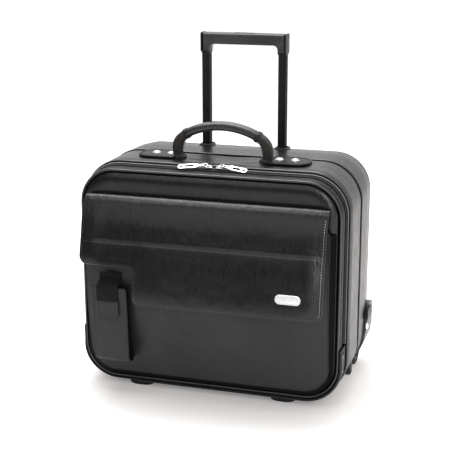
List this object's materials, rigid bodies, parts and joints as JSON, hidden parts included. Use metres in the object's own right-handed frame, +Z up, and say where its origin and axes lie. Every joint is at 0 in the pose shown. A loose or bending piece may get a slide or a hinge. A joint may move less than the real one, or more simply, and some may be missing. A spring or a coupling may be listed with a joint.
{
  "type": "rolling laptop case",
  "caption": "Upright rolling laptop case with a hinged zip front, flapped front pocket, phone pocket, carry handle, telescopic trolley handle and rear wheels.",
  "frame": {"origin": "bottom centre of the whole case, on the floor", "axes": "+X to the right, -Y the front with the flap, +Z up"},
  "size_m": [0.452, 0.3078, 0.571],
  "materials": {
    "leather": "smooth black leather with a fine grain, semi-gloss",
    "smooth_leather": "smooth black leather, satin",
    "piping": "satin vinyl piping",
    "lining": "matt lining cloth",
    "zip_tape": "woven zip tape with black coil teeth",
    "webbing": "woven webbing, matt",
    "elastic": "woven elastic, matt",
    "moulding": "moulded black plastic, satin",
    "grip_plastic": "moulded black plastic, satin",
    "rubber": "matt black rubber",
    "tyre": "matt black polyurethane",
    "tube": "black anodised, satin",
    "steel": "plain",
    "chrome": "polished",
    "badge": "brushed, plain"
  },
  "bodies": {
    "case": {"main_band": "leather", "rear_band": "leather", "back_panel": "leather", "bottom_guard": "moulding", "file_divider": "lining", "back_lining": "lining", "laptop_sleeve": "lining", "zip_tape_case": "zip_tape", "handle_plate": "steel", "handle_pad_left": "smooth_leather", "handle_pad_right": "smooth_leather", "handle_rivet_left_1": "chrome", "handle_rivet_left_2": "chrome", "handle_rivet_right_1": "chrome", "handle_rivet_right_2": "chrome", "trolley_outer_tube_left": "tube", "trolley_outer_tube_right": "tube", "trolley_bezel_left": "grip_plastic", "trolley_bezel_right": "grip_plastic", "wheel_housing_left": "moulding", "wheel_housing_right": "moulding", "wheel_axle_left": "steel", "wheel_axle_right": "steel", "front_foot_left": "rubber", "front_foot_right": "rubber", "rear_skid_left": "rubber", "rear_skid_right": "rubber"},
    "lid": {"front_panel": "leather", "lid_rim": "leather", "front_piping": "piping", "zip_tape_lid": "zip_tape", "front_pocket": "smooth_leather", "phone_pocket": "smooth_leather"},
    "flap": {"flap": "leather", "badge": "badge"},
    "phone_strap": {"phone_strap": "elastic", "phone_tab": "smooth_leather"},
    "carry_handle": {"handle_grip": "smooth_leather", "handle_loop_left": "webbing", "handle_loop_right": "webbing"},
    "zip_slider_left": {"zip_slider_left": "chrome"},
    "zip_slider_right": {"zip_slider_right": "chrome"},
    "zip_pull_left": {"zip_pull_left": "chrome"},
    "zip_pull_right": {"zip_pull_right": "chrome"},
    "trolley_middle": {"trolley_middle_tube_left": "tube", "trolley_middle_tube_right": "tube"},
    "trolley_upper": {"trolley_inner_tube_left": "tube", "trolley_inner_tube_right": "tube", "trolley_grip": "grip_plastic"},
    "release": {"release_button": "grip_plastic", "release_yoke": "steel"},
    "lock_pin_left": {"lock_pin_left": "steel"},
    "lock_pin_right": {"lock_pin_right": "steel"},
    "wheel_left": {"wheel_tyre_left": "tyre", "wheel_hub_left": "grip_plastic", "wheel_bearing_left": "steel"},
    "wheel_right": {"wheel_tyre_right": "tyre", "wheel_hub_right": "grip_plastic", "wheel_bearing_right": "steel"}
  },
  "joints": [
    {"name": "lid_hinge", "type": "hinge", "parent": "case", "child": "lid", "pos_m": [0, -0.0884, 0.016], "axis": [1, 0, 0], "range_deg": [0, 70]},
    {"name": "flap_hinge", "type": "hinge", "parent": "lid", "child": "flap", "pos_m": [0, -0.1014, 0.324], "axis": [-1, 0, 0], "range_deg": [0, 105]},
    {"name": "phone_strap_hinge", "type": "hinge", "parent": "lid", "child": "phone_strap", "pos_m": [-0.152, -0.1274, 0.208], "axis": [-1, 0, 0], "range_deg": [0, 60]},
    {"name": "carry_handle_tilt", "type": "hinge", "parent": "case", "child": "carry_handle", "pos_m": [0, -0.0074, 0.3865], "axis": [1, 0, 0], "range_deg": [-70, 70]},
    {"name": "zip_slide_left", "type": "slide", "parent": "case", "child": "zip_slider_left", "axis": [-1, 0, 0], "range_m": [0, 0.12]},
    {"name": "zip_slide_right", "type": "slide", "parent": "case", "child": "zip_slider_right", "axis": [1, 0, 0], "range_m": [0, 0.12]},
    {"name": "zip_pull_hinge_left", "type": "hinge", "parent": "zip_slider_left", "child": "zip_pull_left", "pos_m": [-0.006, -0.0597, 0.38], "axis": [0, 1, 0], "range_deg": [0, 120]},
    {"name": "zip_pull_hinge_right", "type": "hinge", "parent": "zip_slider_right", "child": "zip_pull_right", "pos_m": [0.011, -0.0597, 0.38], "axis": [0, -1, 0], "range_deg": [0, 120]},
    {"name": "trolley_lower_slide", "type": "slide", "parent": "case", "child": "trolley_middle", "axis": [0, 0, 1], "range_m": [0, 0.28]},
    {"name": "trolley_upper_slide", "type": "slide", "parent": "trolley_middle", "child": "trolley_upper", "axis": [0, 0, 1], "range_m": [-0.153, 0.14]},
    {"name": "release_press", "type": "slide", "parent": "trolley_upper", "child": "release", "axis": [0, 0, -1], "range_m": [0, 0.004], "stiffness_N_per_m": 1500, "springref_m": -0.002},
    {"name": "lock_pin_draw_left", "type": "slide", "parent": "trolley_upper", "child": "lock_pin_left", "axis": [1, 0, 0], "range_m": [0, 0.003]},
    {"name": "lock_pin_draw_right", "type": "slide", "parent": "trolley_upper", "child": "lock_pin_right", "axis": [-1, 0, 0], "range_m": [0, 0.003]},
    {"name": "wheel_spin_left", "type": "hinge", "parent": "case", "child": "wheel_left", "pos_m": [-0.197, 0.1176, 0.03], "axis": [1, 0, 0], "continuous": true},
    {"name": "wheel_spin_right", "type": "hinge", "parent": "case", "child": "wheel_right", "pos_m": [0.197, 0.1176, 0.03], "axis": [1, 0, 0], "continuous": true}
  ],
  "couplings": [
    {"joint": "lock_pin_draw_left", "follows": "release_press", "ratio": 0.75},
    {"joint": "lock_pin_draw_right", "follows": "release_press", "ratio": 0.75}
  ]
}
